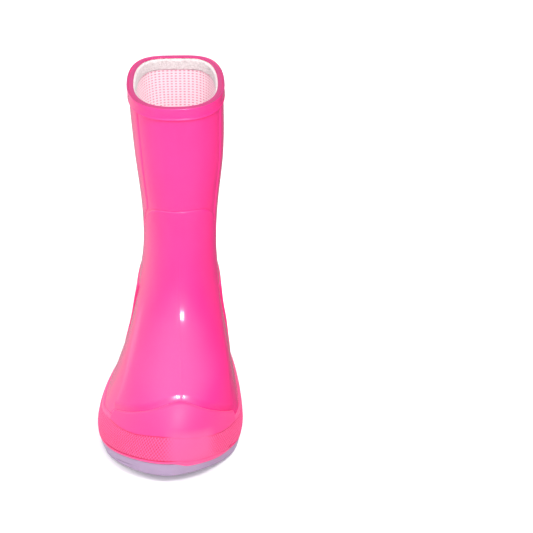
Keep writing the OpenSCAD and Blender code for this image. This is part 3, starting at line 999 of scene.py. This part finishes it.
def make_footbed():
    """Foam footbed and its knit cover, cupped at the heel."""
    a = turn(240)
    edge = SOCK_IN - 2 * GAP

    def top(k, h):
        ring = floor_ring(a, h, edge, k)
        heel = ease((ring[:, 1] - 20) / 40)
        ring[:, 2] += 0.7 * (k**4 - 1) * heel - 0.35 * (1 - k * k)
        return ring

    ks = (0.15, 0.3, 0.45, 0.6, 0.75, 0.88, 0.96)
    low = [floor_ring(a, FOAM_LOW, edge, k) for k in (0.4, 0.8, 0.99)]
    foam = low + [floor_ring(a, h, edge, 1.0) for h in (FOAM_LOW + 0.4, FOAM_LOW + FOAM - 0.3)]
    foam += [top(k, FOAM_LOW + FOAM) for k in ks[::-1]]
    cover = [top(k, COVER_LOW) for k in ks]
    cover += [top(1.0, COVER_LOW + 0.25), top(0.995, COVER_LOW + COVER - 0.15)]
    cover += [top(k, COVER_LOW + COVER) for k in ks[::-1]]
    return loft("footbed_foam", foam), loft("footbed_cover", cover)


def build():
    glossy = (
        (make_shell, "upper_shell"), (make_shin_panel, "shin_panel"), (make_back_stay, "back_stay"),
        (make_heel_counter, "heel_counter"), (make_collar, "collar_band"),
    )
    for make, node in glossy:
        piece = place(make(), "pink_rubber", node, material=gloss_pink)
        if node in ("upper_shell", "collar_band"):
            # painted shade on the rim's upward faces
            paint_rim_top_shade(piece)
    place(make_toe_cap(), "satin_pink_rubber", "toe_cap", material=cap_pink)
    place(make_bead(), "satin_pink_rubber", "foxing_bead", material=satin_pink)
    place(make_bumper(), "satin_pink_rubber", "toe_bumper", material=satin_pink)
    place(make_foxing(), "satin_pink_rubber", "foxing_band", material=foxing_pink)
    place(make_midsole(), "lilac_rubber", "midsole", material=lilac)
    waist_front, waist_back = 0.02 * SHELL_LENGTH, 0.17 * SHELL_LENGTH
    front = make_tread("forefoot_tread", -200, waist_front, -0.42 * SHELL_LENGTH, waist_front - 6)
    place(front, "lilac_rubber", "forefoot_tread", material=lilac)
    back = make_tread("heel_tread", waist_back, 200, waist_back + 8, 0.45 * SHELL_LENGTH)
    place(back, "lilac_rubber", "heel_tread", material=lilac)
    place(make_lining_leg(), "knit_lining", "lining_leg", material=knit_pink)
    place(make_lining_foot(), "knit_lining", "lining_foot", material=knit_pink)
    place(make_tape(), "felt_tape", "lining_edge_tape", material=felt_white)
    place(make_fuzz(), "felt_tape", material=felt_white)
    foam, cover = make_footbed()
    place(foam, "foam", "footbed_foam", material=foam_cream)
    place(cover, "knit_lining", "footbed_cover", material=knit_pink)
    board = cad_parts["insole_board"]
    board.data.materials.clear()
    board.data.materials.append(board_brown)


# ---- stage ----

FLOOR_HALF = 6000.0
BACKDROP_RADIUS = 5500
BACKDROP_TOP = 5000
RING_STEPS = 96
AIM = (0.006, 0.0, 0.09)


def add_light(name, energy, place_at, aim, size, size_y):
    """Rectangular lamp in watts and metres, turned toward aim and hidden from the camera."""
    data = bpy.data.lights.new(name, "AREA")
    data.energy = energy
    data.shape = "RECTANGLE"
    data.size = size
    data.size_y = size_y
    obj = bpy.data.objects.new(name, data)
    obj.location = place_at
    obj.visible_camera = False
    direction = np.array(aim) - np.array(place_at)
    yaw = math.atan2(-direction[0], direction[1])
    pitch = math.atan2(direction[2], math.hypot(direction[0], direction[1]))
    obj.rotation_euler = (math.pi / 2 + pitch, 0, yaw)
    bpy.context.scene.collection.objects.link(obj)
    return obj


def build_stage():
    n = Nodes("studio_floor")
    n.set(Base_Color=n.ramp(n.noise(3.0), [(0.3, (0.91, 0.91, 0.91)), (0.7, (0.93, 0.93, 0.93))]),
          Roughness=0.7, Specular_IOR_Level=0.1, Emission_Color=(1, 1, 1, 1), Emission_Strength=0.12)
    corners = [(FLOOR_HALF * sx, FLOOR_HALF * sy, 0) for sx, sy in ((-1, -1), (1, -1), (1, 1), (-1, 1))]
    floor = add_mesh("studio_floor", corners, [[0, 1, 2, 3]], smooth=False)
    floor.data.materials.append(n.material)
    floor.visible_glossy = False

    build_backdrop()
    build_world()
    add_light("flash", 10.0, (0.28, -0.84, 1.32), AIM, 0.20, 0.28)
    fill = add_light("front_fill", 9.0, (0.0, -1.45, 1.15), AIM, 2.4, 0.8)
    fill.visible_glossy = False
    add_light("left_strip", 0.6, (-0.85, 1.1, 0.35), AIM, 0.4, 1.0)


def build_backdrop():
    """Pale ring far behind the floor, seen by the camera only."""
    n = Nodes("studio_backdrop")
    n.set(Base_Color=n.ramp(n.noise(0.5), [(0.3, (0.9, 0.9, 0.9)), (0.7, (1, 1, 1))]),
          Emission_Color=(1, 1, 1, 1), Emission_Strength=1.0)
    a = np.radians(turn(RING_STEPS))
    ring = np.column_stack([BACKDROP_RADIUS * np.cos(a), BACKDROP_RADIUS * np.sin(a), np.zeros(RING_STEPS)])
    points = np.vstack([ring - [0, 0, 20], ring + [0, 0, BACKDROP_TOP]])
    backdrop = add_mesh("studio_backdrop", points, grid_faces(2, RING_STEPS, wrap=True))
    backdrop.data.materials.append(n.material)
    backdrop.visible_diffuse = False
    backdrop.visible_glossy = False
    backdrop.visible_shadow = False


def build_world():
    """Pale studio: a bright ceiling, light from the front and the left, and a dim right side."""
    world = bpy.data.worlds.new("studio")
    world.use_nodes = True
    tree = world.node_tree
    back = tree.nodes["Background"]

    def maths(operation, *values):
        node = tree.nodes.new("ShaderNodeMath")
        node.operation = operation
        for socket, value in zip(node.inputs, values):
            if isinstance(value, bpy.types.NodeSocket):
                tree.links.new(value, socket)
            else:
                socket.default_value = value
        return node.outputs[0]

    where = tree.nodes.new("ShaderNodeSeparateXYZ")
    tree.links.new(tree.nodes.new("ShaderNodeTexCoord").outputs["Generated"], where.inputs[0])
    x, y, z = where.outputs
    up = maths("MAXIMUM", z, 0.0)
    total = maths("MULTIPLY_ADD", maths("MULTIPLY", up, up), 1.95, 0.04)
    for across, along in ((0.0, -0.45), (-0.15, 0.0), (-0.45, 0.30)):
        wall = maths("MULTIPLY_ADD", x, across, maths("MULTIPLY", y, along))
        total = maths("ADD", total, maths("MAXIMUM", wall, 0.0))
    back.inputs["Color"].default_value = (1, 1, 1, 1)
    tree.links.new(total, back.inputs["Strength"])
    bpy.context.scene.world = world
    bpy.context.scene.view_settings.view_transform = "Standard"


def build_camera():
    """The camera stands in the plane of the shin, in front of the toe and above it."""
    data = bpy.data.cameras.new("camera")
    data.sensor_width = 36.0
    data.lens = 162.1
    data.clip_end = 50.0
    obj = bpy.data.objects.new("camera", data)
    obj.location = (PLANE_X * MM, -1.2556, 0.6608)
    obj.rotation_euler = (math.radians(90 - 24.37), 0, math.radians(-2.295))
    bpy.context.scene.collection.objects.link(obj)
    bpy.context.scene.camera = obj


build_camera()
build()
build_stage()
